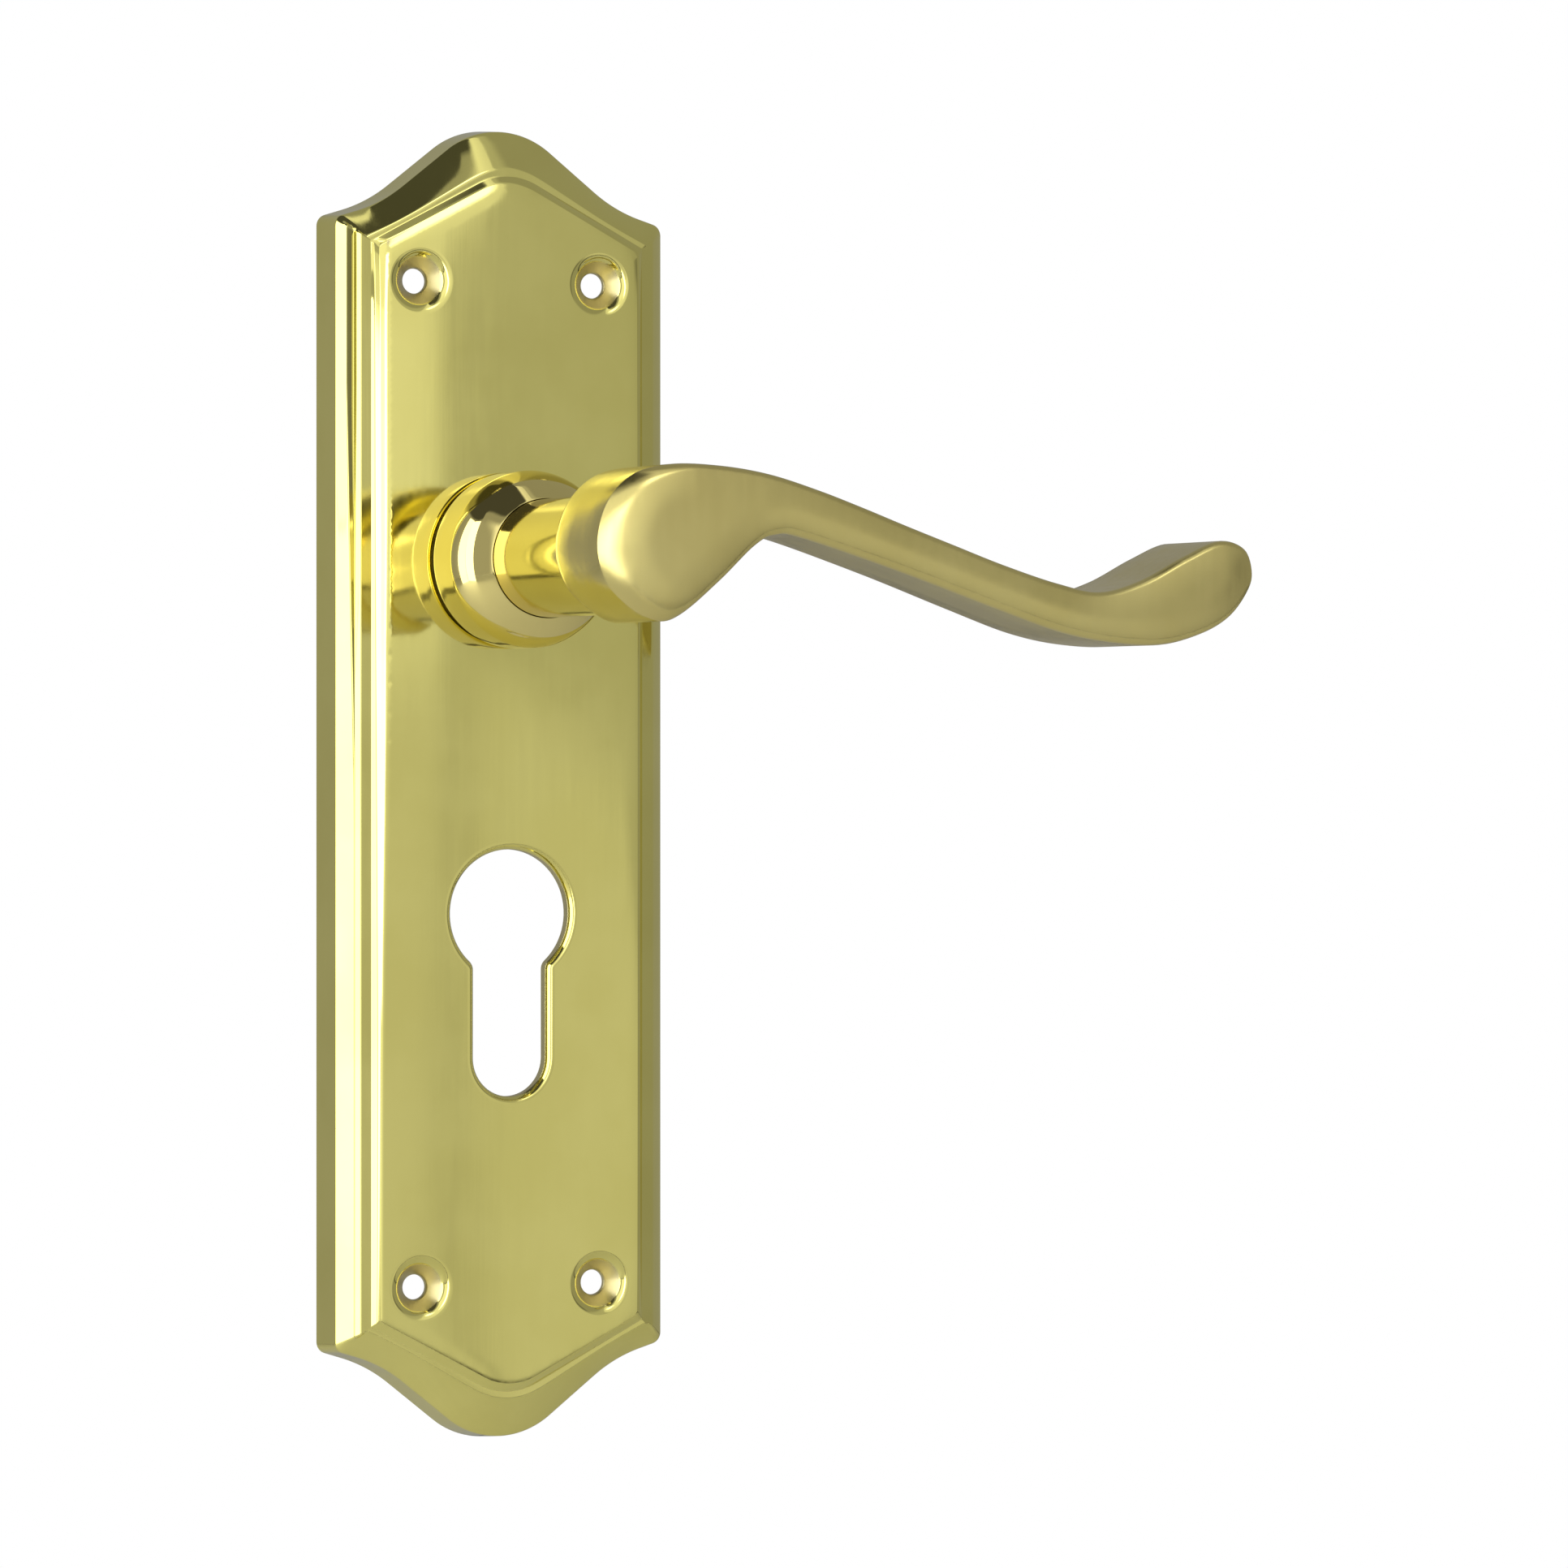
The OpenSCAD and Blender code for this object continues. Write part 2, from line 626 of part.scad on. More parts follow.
module retaining_clip() {
    color([0.5, 0.5, 0.52]) on_spindle() difference() {
        tube(clip_radius, groove_radius + fit_gap, clip_back, clip_front);
        translate([0, -0.6 * groove_radius, clip_back - 1])
            cube([2 * clip_radius, 1.2 * groove_radius, clip_thick + 2]);
    }
}

module spindle() {
    color([0.58, 0.59, 0.6]) on_spindle()
        translate([-spindle_side / 2, -spindle_side / 2, -spindle_reach])
            cube([spindle_side, spindle_side, spindle_reach + socket_end - free_gap]);
}

backplate();
neck_collar();
collar_washer();
bearing_bush();
neck_washer();
spring_housing();
spring_cover();
cover_screw_upper();
cover_screw_lower();
stop_pin_rest();
stop_pin_down();
return_spring();
drive_cam();
lever();
retaining_clip();
spindle();
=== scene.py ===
import json
import math

import bmesh
import bpy
import numpy as np
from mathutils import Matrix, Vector
from mathutils.geometry import delaunay_2d_cdt


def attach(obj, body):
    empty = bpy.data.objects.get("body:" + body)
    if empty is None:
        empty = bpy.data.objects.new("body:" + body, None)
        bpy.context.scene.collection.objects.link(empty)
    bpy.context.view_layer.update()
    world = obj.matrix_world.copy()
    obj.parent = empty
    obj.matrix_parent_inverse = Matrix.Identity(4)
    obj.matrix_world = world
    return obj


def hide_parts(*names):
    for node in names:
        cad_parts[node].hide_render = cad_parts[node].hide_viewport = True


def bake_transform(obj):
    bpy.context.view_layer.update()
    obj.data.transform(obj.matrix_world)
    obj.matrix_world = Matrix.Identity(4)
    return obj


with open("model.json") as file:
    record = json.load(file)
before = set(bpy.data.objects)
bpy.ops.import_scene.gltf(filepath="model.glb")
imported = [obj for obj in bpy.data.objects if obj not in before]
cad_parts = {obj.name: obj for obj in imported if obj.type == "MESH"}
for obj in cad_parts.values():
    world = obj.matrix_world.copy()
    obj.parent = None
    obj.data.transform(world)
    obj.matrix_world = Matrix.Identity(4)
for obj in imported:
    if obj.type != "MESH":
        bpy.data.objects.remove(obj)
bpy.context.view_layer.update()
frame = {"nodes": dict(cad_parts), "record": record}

# Sizes in mm, as in the part's source. Front view: x right, y up, d out of the door.
plate_height, plate_width, rim_depth, wall_draft = 178.8, 49.2, 5.8, 0.4
ledge_depth, field_depth, skin = 8.7, 10.0, 2.3
band_width, ledge_width, step_width, corner_radius = 2.65, 1.45, 1.1, 1.6
crown_radius, flank_slope, flank_end, hollow_radius, shoulder_slope = 12.2, 38, 14.2, 21, 17
foot_drop, gable_slope, gable_radius = 6.3, 27.6, 9.4
lock_centres, barrel_hole, slot_width, lock_height = 48, 17.4, 10.6, 33.6
fix_width, fix_height, fix_hole, fix_head = 26.4, 136.4, 3.4, 7.4
fix_sink, fix_throat, fix_wall = 2.4, 1.0, 1.8
collar_size, collar_side, collar_dome, washer_thick = 24, 6, 5.4, 0.9
spindle_height, neck_size, lever_front, lever_depth = 30.4, 16, 62.5, 17.5
back_round, arm_waist, waist_end = 0.9, 5, 64
journal_radius, flats_half, groove_radius, socket_half = 6.99, 5.79, 6.35, 4.05
shoulder, flats_from, groove_from, groove_to, tail_end, socket_end = 15.65, 6.45, 1.55, 0.85, 0.3, 32.3
bush_radius, bush_front, roof_inset, ceiling = 8.83, 15.03, 1.8, field_depth - skin
post_offset, post_radius, post_bore, post_end, post_deep = 19.55, 2.85, 1.3, 1.33, 5.6
base_half, base_top = plate_width / 2, plate_height / 2
rim_half, rim_top = base_half - wall_draft, base_top - wall_draft
foot_inset = band_width + ledge_width
foot_half, foot_top = rim_half - foot_inset, rim_top - foot_drop
field_half, field_top, field_peak = foot_half - step_width, foot_top - step_width, gable_radius - step_width
lever_back = lever_front - lever_depth
lock_y = spindle_height - lock_centres


def sind(a):
    return np.sin(np.radians(a))


def cosd(a):
    return np.cos(np.radians(a))


def tand(a):
    return np.tan(np.radians(a))


def ease(t):
    u = np.clip(t, 0, 1)
    return u * u * (3 - 2 * u)


# Meshes -------------------------------------------------------------------------------------

ROW = 0.866  # height of a row of triangles, in sides


def inside(loop, pts):
    """Which points lie inside a closed loop."""
    x, y = pts[:, :1], pts[:, 1:]
    a, b = loop, np.roll(loop, -1, axis=0)
    crosses = (a[:, 1] > y) != (b[:, 1] > y)
    with np.errstate(divide="ignore", invalid="ignore"):
        at = a[:, 0] + (y - a[:, 1]) / (b[:, 1] - a[:, 1]) * (b[:, 0] - a[:, 0])
    return (np.where(crosses, x < at, False).sum(1) % 2) == 1


def edge_distance(loop, pts):
    """Distance of each point from a closed loop's edges."""
    a, b = loop, np.roll(loop, -1, axis=0)
    best = np.full(len(pts), 1e9)
    for p, q in zip(a, b):
        e = q - p
        t = np.clip(((pts - p) @ e) / max(e @ e, 1e-12), 0, 1)
        best = np.minimum(best, np.hypot(*(pts - p - t[:, None] * e).T))
    return best


class Skin:
    """Closed surface gathered from rings and filled patches."""

    def __init__(self):
        self.co, self.faces = [], []

    def ring(self, xy, d):
        start = len(self.co)
        d = np.broadcast_to(d, len(xy))
        self.co.extend((p[0], p[1], h) for p, h in zip(xy, d))
        return list(range(start, len(self.co)))

    def loft(self, *rings):
        for a, b in zip(rings, rings[1:]):
            n = len(a)
            self.faces += [(a[i], a[(i + 1) % n], b[(i + 1) % n], b[i]) for i in range(n)]
        return rings[-1]

    def patch(self, loops, depth, spacing=0, fine=0, border=3.4):
        """Fills the first loop less the others, with new points at the given depth, closer near the border."""
        flat = [np.array([self.co[i][:2] for i in loop]) for loop in loops]
        index = [i for loop in loops for i in loop]
        edges, s = [], 0
        for loop in loops:
            n = len(loop)
            edges += [(s + i, s + (i + 1) % n) for i in range(n)]
            s += n
        pts = np.vstack(flat)
        for step in (spacing, fine) if spacing else ():
            lo, hi = flat[0].min(0), flat[0].max(0)
            rows = np.arange(lo[1], hi[1], step * ROW)
            grid = np.array([
                (x + (k % 2) * step / 2, y)
                for k, y in enumerate(rows) for x in np.arange(lo[0], hi[0], step)])
            grid = grid[inside(flat[0], grid)]
            depth_in = edge_distance(flat[0], grid)
            if step == spacing:
                keep = depth_in > border
            else:
                keep = (depth_in > step / 2) & (depth_in <= border)
            for hole in flat[1:]:
                keep &= ~inside(hole, grid) & (edge_distance(hole, grid) > step / 2)
            grid = grid[keep]
            index += self.ring(grid, depth(grid))
            pts = np.vstack([pts, grid])
        made = delaunay_2d_cdt([Vector(p) for p in pts], edges, [], 2, 1e-7)
        where = [o[0] for o in made[3]]
        tris = np.array([[where[i] for i in f] for f in made[2]])
        mid = pts[tris].mean(1)
        s = len(loops[0])
        for hole in flat[1:]:
            within = ((tris >= s) & (tris < s + len(hole))).all(1) & inside(hole, mid)
            tris, mid = tris[~within], mid[~within]
            s += len(hole)
        self.faces += [tuple(index[i] for i in t) for t in tris]

    def cap(self, ring):
        self.faces.append(tuple(ring))

    def piece(self, name, up=0.0, sharp=30):
        """Object in the world's metres, raised by up mm, with edges over sharp degrees kept crisp."""
        co = np.array(self.co, float)
        world = np.c_[co[:, 0], -co[:, 2], co[:, 1] + up] * 0.001
        mesh = bpy.data.meshes.new(name)
        mesh.from_pydata(world.tolist(), [], self.faces)
        bm = bmesh.new()
        bm.from_mesh(mesh)
        bmesh.ops.remove_doubles(bm, verts=bm.verts, dist=1e-7)
        bmesh.ops.recalc_face_normals(bm, faces=bm.faces)
        bm.to_mesh(mesh)
        bm.free()
        mesh.shade_smooth()
        mesh.set_sharp_from_angle(angle=math.radians(sharp))
        obj = bpy.data.objects.new(name, mesh)
        bpy.context.scene.collection.objects.link(obj)
        return obj


def circle(r, x=0.0, y=0.0, n=64):
    a = np.arange(n) * 2 * math.pi / n
    return np.c_[x + r * np.cos(a), y + r * np.sin(a)]


def bezier(p, q, r, steps):
    """Points of a curve from p to r that aims at q, without p."""
    t = np.linspace(0, 1, steps + 1)[1:, None]
    return np.array(p) * (1 - t) ** 2 + 2 * np.array(q) * t * (1 - t) + np.array(r) * t * t


# Backplate ----------------------------------------------------------------------------------

CROWN, CORNER, SIDE = 44, 8, 18


def ogee(x):
    """Drop of the crown's outline below its top: a round, a straight flank, a hollow and a shoulder."""
    round_x = crown_radius * sind(flank_slope)
    round_drop = crown_radius * (1 - cosd(flank_slope))
    flank_drop = round_drop + (flank_end - round_x) * tand(flank_slope)
    hollow_end = flank_end + hollow_radius * (sind(flank_slope) - sind(shoulder_slope))
    hollow_drop = flank_drop + hollow_radius * (cosd(shoulder_slope) - cosd(flank_slope))
    x = np.asarray(x, float)
    bend = np.clip(sind(flank_slope) - (x - flank_end) / hollow_radius, -1, 1)
    return np.select(
        [x < round_x, x < flank_end, x < hollow_end],
        [crown_radius - np.sqrt(np.maximum(crown_radius ** 2 - x * x, 0)),
         round_drop + (x - round_x) * tand(flank_slope),
         flank_drop + hollow_radius * (np.sqrt(1 - bend ** 2) - cosd(flank_slope))],
        hollow_drop + (x - hollow_end) * tand(shoulder_slope))


def gable(x, r):
    """Drop of the field's outline below its top: a round of radius r, then a straight slope."""
    x = np.asarray(x, float)
    return np.where(
        x < r * sind(gable_slope), r - np.sqrt(np.maximum(r * r - x * x, 0)),
        r * (1 - cosd(gable_slope)) + (x - r * sind(gable_slope)) * tand(gable_slope))


def outline(half, top, drop, slope, r):
    """Whole outline from its drop below the top, with round corners, clockwise from the top."""
    run = r * tand((90 - slope) / 2)
    x = (half - run * cosd(slope)) * np.linspace(0, 1, CROWN + 1)
    mid = top - float(drop(half)) + run * sind(slope) - r * cosd(slope)
    a = (90 - slope) * (1 - np.arange(1, CORNER + 1) / CORNER)
    down = mid * (1 - np.arange(1, SIDE + 1) / (SIDE + 0.5))
    q = np.vstack([
        np.c_[x, top - drop(x)],
        np.c_[half - r + r * cosd(a), mid + r * sind(a)],
        np.c_[np.full(SIDE, half), down]])
    return np.vstack([q, q[::-1] * [1, -1], q[1:] * [-1, -1], q[:0:-1] * [-1, 1]])


base = outline(base_half, base_top, ogee, shoulder_slope, corner_radius)
rim = outline(rim_half, rim_top, ogee, shoulder_slope, corner_radius)
foot = outline(foot_half, foot_top, lambda x: gable(x, gable_radius), gable_slope, 0.3)
field = outline(field_half, field_top, lambda x: gable(x, field_peak), gable_slope, 1)
roof = outline(
    field_half - roof_inset, field_top - roof_inset,
    lambda x: gable(x, field_peak - roof_inset), gable_slope, 1)


def mix(a, b, t):
    """From a at t = 0 to b at t = 1."""
    return a * (1 - t) + b * t


def up_plate(y):
    """0 low on the plate to 1 high up, where polishing has rounded the left side most."""
    return ease((y + 50) / 90)


def edge_knots(high):
    """Slope across the field's left edge, from the foot in: a step, then a soft bevel, wider high up."""
    step, bevel, steep = 0.52 - 0.2 * high, 0.35 + 1.15 * high, 1.8 - 0.5 * high
    slope, blend, fade = 0.31, 0.12, 0.6
    return [(0, steep), (step, steep), (step + blend, slope), (step + bevel, slope), (step + bevel + fade, 0)]


def fall_table(high):
    """Fall of the left edge below the field, for each distance in edge_reach."""
    slopes = np.interp(edge_reach, *zip(*edge_knots(high)))
    return np.cumsum(slopes[::-1])[::-1] * edge_reach[1]


EDGE_LEVELS = 5
edge_reach = np.linspace(0, 3, 601)
edge_falls = [fall_table(h / EDGE_LEVELS) for h in range(EDGE_LEVELS + 1)]


def edge_fall(inset, high):
    """How far the left edge lies below the field, at a distance in from the foot."""
    table = np.array([np.interp(inset, edge_reach, f) for f in edge_falls])
    k = np.clip(high * EDGE_LEVELS, 0, EDGE_LEVELS - 0.001)
    i, n = k.astype(int), np.arange(len(table[0]))
    return mix(table[i, n], table[i + 1, n], k - i)


def rolled(inset, width):
    """Share of a rounded edge's fall at a distance in from it."""
    return np.clip(1 - inset / width, 0, 1.1) ** 2


def sag(xy):
    """How far hand polishing has rounded the field off below its flat face, most at its upper left."""
    x, y = xy.T
    left, right = field_half + x, field_half - x
    crown = (field_top - gable(np.abs(x), field_peak) - np.abs(y)) * cosd(gable_slope)
    high = up_plate(y)
    near = rolled(left, 10) * (0.05 + 0.09 * high)
    near += edge_fall(left + step_width, high)
    near += 0.045 * rolled(right, 2.5)
    top = rolled(crown, 2.4) * (0.07 + 0.25 * high * ease(0.7 - x / 16))
    top += rolled(crown, 9) * (0.03 + 0.10 * high * ease(0.5 - x / 20))
    bow_x, bow_y = 0.0004, 0.00004
    return near + top + bow_x * x * x + bow_y * y * y


def on_field(xy):
    """Depth of the field's face."""
    return field_depth - sag(xy)


def lock_outline(o):
    """Outline of the lock hole, grown by o into the metal, with softened corners at the slot."""
    big, half, soft = barrel_hole / 2, slot_width / 2, 1.6
    fx = half + soft
    fy = -math.sqrt((big + soft) ** 2 - fx ** 2)
    meet = math.degrees(math.atan2(fy, fx))
    low = barrel_hole / 2 - lock_height + half
    top = np.linspace(meet, 180 - meet, 61)
    bend = np.linspace(-meet, 0, 9)[1:]
    left = np.c_[-fx + (soft - o) * cosd(bend), fy + (soft - o) * sind(bend)]
    fall = np.linspace(fy, low, 14)[1:-1]
    bottom = np.linspace(180, 360, 41)
    right = left[::-1] * [-1, 1]
    pts = np.vstack([
        np.c_[(big + o) * cosd(top), (big + o) * sind(top)],
        left,
        np.c_[np.full(len(fall), -half - o), fall],
        np.c_[(half + o) * cosd(bottom), low + (half + o) * sind(bottom)],
        np.c_[np.full(len(fall), half + o), fall[::-1]],
        right])
    return pts + [0, lock_y]


def profile(knots, start, end, at):
    """Depth at each place across a moulding, from its slope at the knots, scaled to run from start to end."""
    x = np.linspace(knots[0][0], knots[-1][0], 2001)
    slope = np.interp(x, *zip(*knots))
    rise = np.concatenate([[0], np.cumsum((slope[1:] + slope[:-1]) / 2)])
    return start + (end - start) * np.interp(at, x, rise / rise[-1])


band_start = rim_depth + 0.27


def left_band(u):
    """Slopes of the left band: a step, a flat from u, a second step and the ledge."""
    second_rise = 1.15 - 0.47 * (u - 1)
    first = (ledge_depth - band_start - second_rise) / (u - 0.275)
    second = second_rise / 0.545
    return [(0.2, first), (u - 0.15, first), (u, -0.09), (2.02, -0.12),
            (2.03, 1.1 * second), (2.5, 0.9 * second), (2.65, 0), (foot_inset, 0)]


# The flat narrows down the plate until the two steps are one slope; the ends are scooped
flat_from = np.linspace(1, 2, 11)
scoop_band = [(0.2, 1.25), (1.0, 1.05), (2.3, 0.92), (3.3, 0.8), (3.5, 0.1), (3.7, 0.02), (foot_inset, 0)]
side_band = [(0.2, 1.3), (2.2, 1.0), (2.6, 0.3), (foot_inset, 0.16)]
at_corner = ease((5.5 - np.arange(1, CORNER + 1)) / 2.5)
ends = np.concatenate([np.ones(CROWN + 1), at_corner, np.zeros(SIDE)])
ends = np.concatenate([ends, ends[::-1], ends[1:], ends[:0:-1]])
band_at = np.concatenate([
    [3.95, 3.7, 3.6, 3.5, 3.4, 3.3, 3.2, 3.1, 3.0, 2.9, 2.75],
    [2.66, 2.62, 2.58, 2.54, 2.5, 2.4, 2.25, 2.12, 2.05, 2.03, 2.0],
    np.arange(1.94, 0.8, -0.06), [0.7, 0.5, 0.33, 0.2]])
step_rise = [(0.0, 0.0), (0.03, 0.02), (0.08, 0.08), (0.2, 0.215), (0.4, 0.445), (0.6, 0.675), (0.72, 0.81),
             (0.78, 0.868), (0.84, 0.915), (0.9, 0.951), (0.96, 0.981), (1, 1)]
step_at = [0.96, 0.9, 0.84, 0.78, 0.7, 0.6, 0.55, 0.5, 0.45, 0.41, 0.37, 0.33, 0.29, 0.2, 0.12, 0.05, 0.0]
inner_at = [1.62, 1.48, 1.36, 1.25, 1.16, 1.07]


def moulding(s):
    """Rings from inside the field's edge, out over the moulding and round to the ceiling of the hollow back."""
    top = on_field(field)
    rings = [s.ring(xy, on_field(xy)) for xy in (mix(foot, field, t) for t in inner_at)]
    rings.append(s.ring(field, top))
    high = up_plate(field[:, 1])

    def left_rise(t):
        return edge_fall(np.zeros(len(field)), high) - edge_fall(np.full(len(field), t * step_width), high)

    for t in step_at:
        lift = np.interp(t, *zip(*step_rise))
        left = left_rise(t) / left_rise(1)
        lift = mix(mix(left, lift, field[:, 0] > 0), lift, ends)
        rings.append(s.ring(mix(foot, field, t), ledge_depth + (top - ledge_depth) * lift))
    lefts = np.array([profile(left_band(u), band_start, ledge_depth, band_at) for u in flat_from])
    right, scooped = (profile(k, band_start, ledge_depth, band_at) for k in (side_band, scoop_band))
    for k, at in enumerate(band_at):
        xy = mix(rim, foot, at / foot_inset)
        x, y = xy.T
        left = np.interp(1 + (50 - y) / 50, flat_from, lefts[:, k])
        rings.append(s.ring(xy, mix(mix(left, right[k], x > 0), scooped[k], ends)))
    for inset, d in bezier((0.2, band_start), (0.0, band_start - 0.27), (0.0, rim_depth - 0.45), 7):
        rings.append(s.ring(mix(rim, foot, inset / foot_inset), d))
    inner_step = mix(foot, field, 0.2)
    for xy, d in (
            (mix(base, rim, 0.5), rim_depth / 2), (base, 0.15), (mix(base, rim, 0.3), 0.0),
            (mix(rim, foot, 0.5), 0.0), (mix(rim, foot, 0.52), 0.15), (mix(rim, foot, 0.58), rim_depth - skin),
            (inner_step, ledge_depth - skin), (mix(inner_step, roof, 0.85), ceiling - 0.2), (roof, ceiling)):
        rings.append(s.ring(xy, d))
    return rings


def fixing_hole(s, x, y):
    """Rings of a countersunk hole, from the field to the pad on the plate's back."""
    r0, r1 = fix_head / 2, fix_hole / 2
    lean = fix_sink / (r0 - r1)
    cone = [(r, -(r0 - r) * lean) for r in (r0 - 0.4, r0 - 0.8, r0 - 1.3, r1 + 0.2)]
    lip = [(r0 + 1.05, 0), (r0 + 0.85, 0), *bezier((r0 + 0.85, 0), (r0 + 0.05, 0), cone[0], 9)]
    neck = bezier(cone[-1], (r1, -fix_sink), (r1, -fix_sink - 0.2), 4)
    rings = []
    for r, d in [*lip, *cone[1:], *neck]:
        xy = circle(r, x, y)
        rings.append(s.ring(xy, on_field(xy) + d))
    back_face, pad = field_depth - fix_sink - fix_throat, r1 + fix_wall
    for r, d in ((r1, 0.1), (r1 + 0.1, 0), (pad - 0.15, 0), (pad, 0.15)):
        rings.append(s.ring(circle(r, x, y), back_face + d))
    rings.append(s.ring(circle(pad, x, y), ceiling))
    return rings


def lock_hole(s):
    """Rings of the lock hole, with a soft bevel round its front edge."""
    bevel = [(1.2, 0), (0.85, 0), *bezier((0.85, 0), (0.6, 0), (0.45, 0.2), 5), (0.3, 0.41),
             *bezier((0.15, 0.62), (0.0, 0.83), (0.0, 1.1), 5)]
    rings = []
    for o, fall in bevel:
        xy = lock_outline(o)
        rings.append(s.ring(xy, on_field(xy) - fall))
    rings.append(s.ring(lock_outline(0), ceiling + 0.1))
    rings.append(s.ring(lock_outline(0.1), ceiling))
    return rings


def bush_hole(s):
    """Rings of the hole for the bush, under the collar."""
    rings = []
    for r in (bush_radius + 0.5, bush_radius):
        xy = circle(r, 0, spindle_height, 72)
        rings.append(s.ring(xy, on_field(xy)))
    rings.append(s.ring(circle(bush_radius, 0, spindle_height, 72), ceiling))
    return rings


def cover_post(s, y):
    """Rings of a post for one of the cover's screws, from the ceiling to the end of its bore."""
    chamfer = 0.12
    return [s.ring(circle(r, 0, y, 40), d) for r, d in (
        (post_radius, ceiling), (post_radius, post_end + chamfer), (post_radius - chamfer, post_end),
        (post_bore, post_end), (post_bore, post_deep))]


def make_plate():
    s = Skin()
    edge = moulding(s)
    s.loft(*edge)
    front, back = [edge[0]], [edge[-1]]
    across, up = fix_width / 2, fix_height / 2
    holes = [fixing_hole(s, x, y) for x in (-across, across) for y in (-up, up)]
    holes += [lock_hole(s), bush_hole(s)]
    for rings in holes:
        s.loft(*rings)
        front.append(rings[0])
        back.append(rings[-1])
    for y in (spindle_height - post_offset, spindle_height + post_offset):
        rings = cover_post(s, y)
        s.loft(*rings)
        s.cap(rings[-1])
        back.append(rings[0])
    s.patch(front, on_field, spacing=1.5, fine=0.5)
    s.patch(back, lambda xy: np.full(len(xy), ceiling))
    return s.piece("plate_cast")


# Lever --------------------------------------------------------------------------------------

upper_edge = [
    (-10.15, 0.8), (-8.8, 6), (-5.2, 9.8), (0.4, 11.35), (7.5, 11.25), (14.5, 10.25),
    (21.5, 8.3), (28, 6.1), (34.5, 3.75), (41.5, 1.3), (49, -1.3), (57, -3.65),
    (63.4, -4.7), (69.6, -3.1), (76, 0.1), (81.4, 2.3), (85.2, 1.3), (86.4, -2)]
lower_edge = [
    (-10.15, 0.8), (-8.9, -4), (-5.6, -7.3), (-1.6, -9.15), (1.8, -8.3), (7.4, -3.8),
    (12.4, 0.8), (15.4, 2.2), (19.5, 1.85), (34, -2.5), (47, -6.85), (57, -10.05),
    (65, -11.5), (72.5, -11.75), (78.6, -10.25), (82.8, -8), (85.5, -4.8), (86.4, -2)]


def smooth_edge(p, before, after, steps=8):
    """Smooth curve through the points, led in and out by one more at each end."""
    q = np.array([before, *p, after], float)
    t = (np.arange(steps) / steps)[:, None]
    runs = []
    for i in range(1, len(p)):
        a, b, c, d = q[i - 1], q[i], q[i + 1], q[i + 2]
        runs.append(0.5 * (2 * b + (c - a) * t + (2 * a - 5 * b + 4 * c - d) * t ** 2
                           + (3 * b - a - 3 * c + d) * t ** 3))
    return np.vstack(runs + [q[-2:-1]])


# Shares of the way out over the rounded edge of the lever's front face
edge_shares = np.array([0, 0.1, 0.2, 0.3, 0.4, 0.5, 0.6, 0.66, 0.7, 0.74, 0.78, 0.83, 0.88, 0.93, 0.96, 0.99])
head_tilt = (0, 0.3, 0.5, 0.8, 1), (9, 13, 16, 18.5, 20)
arm_tilt, edge_drop = 84, 0.22


def swell(x):
    """Drop and reach of the front face's gentle swell, deeper at the head."""
    at_head = 1 - ease((x - 2) / 22)
    return 0.22 + 0.08 * at_head, 3.4 + 0.2 * at_head


def tail_rings(s, n=96):
    """Rings of the neck, the journal, and the tail with its flats, clip groove and square socket."""
    a = np.arange(n) * 2 * math.pi / n
    way = np.c_[np.cos(a), np.sin(a)]
    across = np.abs(way)

    def section(big, d, flat=99):
        """A circle, cut by two flats where they are nearer than its edge."""
        r = np.minimum(big, flat / np.maximum(across[:, 0], 1e-6))
        return s.ring(r[:, None] * way, d)

    neck, soft = neck_size / 2, 0.15
    rings = [section(r, d) for r, d in (
        (neck - 0.3, lever_back + 2.6), (neck, lever_back + 2.3), (neck, shoulder + 0.2), (neck - 0.2, shoulder),
        (journal_radius, shoulder), (journal_radius, flats_from))]
    rings += [section(r, d, flats_half) for r, d in (
        (journal_radius, flats_from), (journal_radius, groove_from), (groove_radius, groove_from),
        (groove_radius, groove_to), (journal_radius, groove_to), (journal_radius, tail_end + soft))]
    rings.append(section(journal_radius - soft, tail_end, flats_half - soft))
    square = way * (socket_half / across.max(1))[:, None]
    return rings + [s.ring(square * 1.03, tail_end), s.ring(square, tail_end + soft), s.ring(square, socket_end)]


